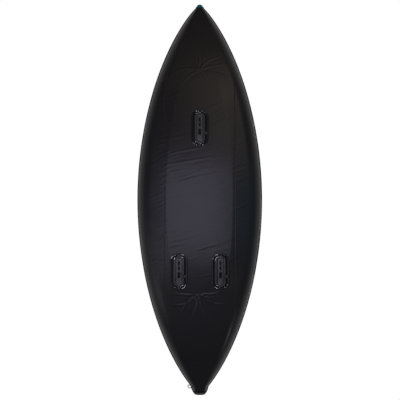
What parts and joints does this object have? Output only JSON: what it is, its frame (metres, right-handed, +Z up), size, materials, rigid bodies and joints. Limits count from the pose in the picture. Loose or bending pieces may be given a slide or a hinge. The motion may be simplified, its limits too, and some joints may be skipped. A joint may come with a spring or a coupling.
{
  "type": "inflatable kayak",
  "caption": "Tandem inflatable kayak with drop-in air chambers, decked ends, folding backrests and moulded fin boxes with sliding locks.",
  "frame": {"origin": "the middle of the boat's length and breadth, on the plane of the fin boxes' lower faces", "axes": "+Y towards the stern, +X to port, +Z up; the boat stands upright"},
  "size_m": [1.034, 3.26, 0.5244],
  "materials": {
    "bottom_skin": "satin coated fabric, black",
    "tube_cover": "matte woven cover, teal",
    "deck_cloth": "matte woven cloth, charcoal",
    "air_chamber": "satin coated bladder, grey",
    "piping": "satin extruded piping, black",
    "fin_moulding": "gloss moulding, black",
    "latch_moulding": "satin moulding, black",
    "valve_nylon": "satin moulding, black",
    "pin_nylon": "satin moulding, white",
    "seat_cloth": "woven cushion cloth, charcoal",
    "webbing": "ribbed webbing, black",
    "patch": "satin welded patch, black",
    "grip_rubber": "matte rubber, black",
    "ring_steel": "polished steel"
  },
  "bodies": {
    "hull": {"bottom_center_panel": "bottom_skin", "bow_deck": "deck_cloth", "bow_deck_piping": "piping", "bow_handle_patch": "patch", "bow_ring_patch": "patch", "bow_tip_cap": "tube_cover", "fin_box_front": "fin_moulding", "fin_box_left": "fin_moulding", "fin_box_right": "fin_moulding", "floor_chamber": "air_chamber", "floor_valve_body": "valve_nylon", "front_left_anchor": "patch", "front_left_buckle": "valve_nylon", "front_left_strap": "webbing", "front_right_anchor": "patch", "front_right_buckle": "valve_nylon", "front_right_strap": "webbing", "front_seat_base": "seat_cloth", "left_bilge_panel": "bottom_skin", "left_seam_piping": "piping", "left_tube_chamber": "air_chamber", "left_tube_cover": "tube_cover", "left_valve_body": "valve_nylon", "rear_left_anchor": "patch", "rear_left_buckle": "valve_nylon", "rear_left_strap": "webbing", "rear_right_anchor": "patch", "rear_right_buckle": "valve_nylon", "rear_right_strap": "webbing", "rear_seat_base": "seat_cloth", "right_bilge_panel": "bottom_skin", "right_seam_piping": "piping", "right_tube_chamber": "air_chamber", "right_tube_cover": "tube_cover", "right_valve_body": "valve_nylon", "stern_deck": "deck_cloth", "stern_deck_piping": "piping", "stern_handle_patch": "patch", "stern_ring_patch": "patch", "stern_side_loop": "webbing", "stern_tip_cap": "piping"},
    "latch_front": {"fin_latch_front": "latch_moulding"},
    "latch_left": {"fin_latch_left": "latch_moulding"},
    "latch_right": {"fin_latch_right": "latch_moulding"},
    "cap_left": {"left_valve_cap": "valve_nylon"},
    "cap_right": {"right_valve_cap": "valve_nylon"},
    "cap_floor": {"floor_valve_cap": "valve_nylon"},
    "pin_left": {"left_valve_pin": "pin_nylon"},
    "pin_right": {"right_valve_pin": "pin_nylon"},
    "pin_floor": {"floor_valve_pin": "pin_nylon"},
    "front_backrest": {"front_seat_back": "seat_cloth", "front_back_band": "webbing"},
    "rear_backrest": {"rear_seat_back": "seat_cloth", "rear_back_band": "webbing"},
    "front_bolster": {"front_footrest": "seat_cloth"},
    "rear_bolster": {"rear_footrest": "seat_cloth"},
    "bow_handle": {"bow_handle_loop": "grip_rubber"},
    "stern_handle": {"stern_handle_loop": "grip_rubber"},
    "bow_ring": {"bow_ring_loop": "ring_steel"},
    "stern_ring": {"stern_ring_loop": "ring_steel"}
  },
  "joints": [
    {"name": "fin_lock_front", "type": "slide", "parent": "hull", "child": "latch_front", "axis": [-1, 0, 0], "range_m": [0, 0.011]},
    {"name": "fin_lock_left", "type": "slide", "parent": "hull", "child": "latch_left", "axis": [-1, 0, 0], "range_m": [0, 0.011]},
    {"name": "fin_lock_right", "type": "slide", "parent": "hull", "child": "latch_right", "axis": [-1, 0, 0], "range_m": [0, 0.011]},
    {"name": "valve_cap_left", "type": "hinge", "parent": "hull", "child": "cap_left", "pos_m": [0.32386, 0.64, 0.28254], "axis": [0, 0, 1], "range_deg": [0, 90]},
    {"name": "valve_pin_left", "type": "slide", "parent": "hull", "child": "pin_left", "axis": [0, 0, -1], "range_m": [0, 0.004], "stiffness_N_per_m": 400, "springref_m": -0.002},
    {"name": "valve_cap_right", "type": "hinge", "parent": "hull", "child": "cap_right", "pos_m": [-0.32386, 0.64, 0.28254], "axis": [0, 0, 1], "range_deg": [0, 90]},
    {"name": "valve_pin_right", "type": "slide", "parent": "hull", "child": "pin_right", "axis": [0, 0, -1], "range_m": [0, 0.004], "stiffness_N_per_m": 400, "springref_m": -0.002},
    {"name": "valve_cap_floor", "type": "hinge", "parent": "hull", "child": "cap_floor", "pos_m": [0.12704, -0.48, 0.1164], "axis": [0, 0, 1], "range_deg": [0, 90]},
    {"name": "valve_pin_floor", "type": "slide", "parent": "hull", "child": "pin_floor", "axis": [0, 0, -1], "range_m": [0, 0.004], "stiffness_N_per_m": 400, "springref_m": -0.002},
    {"name": "front_backrest_fold", "type": "hinge", "parent": "hull", "child": "front_backrest", "pos_m": [0, -0.06, 0.1527], "axis": [1, 0, 0], "range_deg": [-12, 64]},
    {"name": "rear_backrest_fold", "type": "hinge", "parent": "hull", "child": "rear_backrest", "pos_m": [0, 0.72, 0.1527], "axis": [1, 0, 0], "range_deg": [-12, 64]},
    {"name": "front_bolster_slide", "type": "slide", "parent": "hull", "child": "front_bolster", "axis": [0, 1, 0], "range_m": [0, 0.2]},
    {"name": "rear_bolster_slide", "type": "slide", "parent": "hull", "child": "rear_bolster", "axis": [0, 1, 0], "range_m": [0, 0.1]},
    {"name": "bow_handle_swing", "type": "hinge", "parent": "hull", "child": "bow_handle", "pos_m": [0, -1.2877, 0.31439], "axis": [-1, 0, 0], "range_deg": [0, 150]},
    {"name": "stern_handle_swing", "type": "hinge", "parent": "hull", "child": "stern_handle", "pos_m": [0, 1.2877, 0.31439], "axis": [1, 0, 0], "range_deg": [0, 150]},
    {"name": "bow_ring_swing", "type": "hinge", "parent": "hull", "child": "bow_ring", "pos_m": [0, -1.141, 0.29527], "axis": [-1, 0, 0], "range_deg": [0, 150]},
    {"name": "stern_ring_swing", "type": "hinge", "parent": "hull", "child": "stern_ring", "pos_m": [0, 1.141, 0.29527], "axis": [1, 0, 0], "range_deg": [0, 150]}
  ]
}
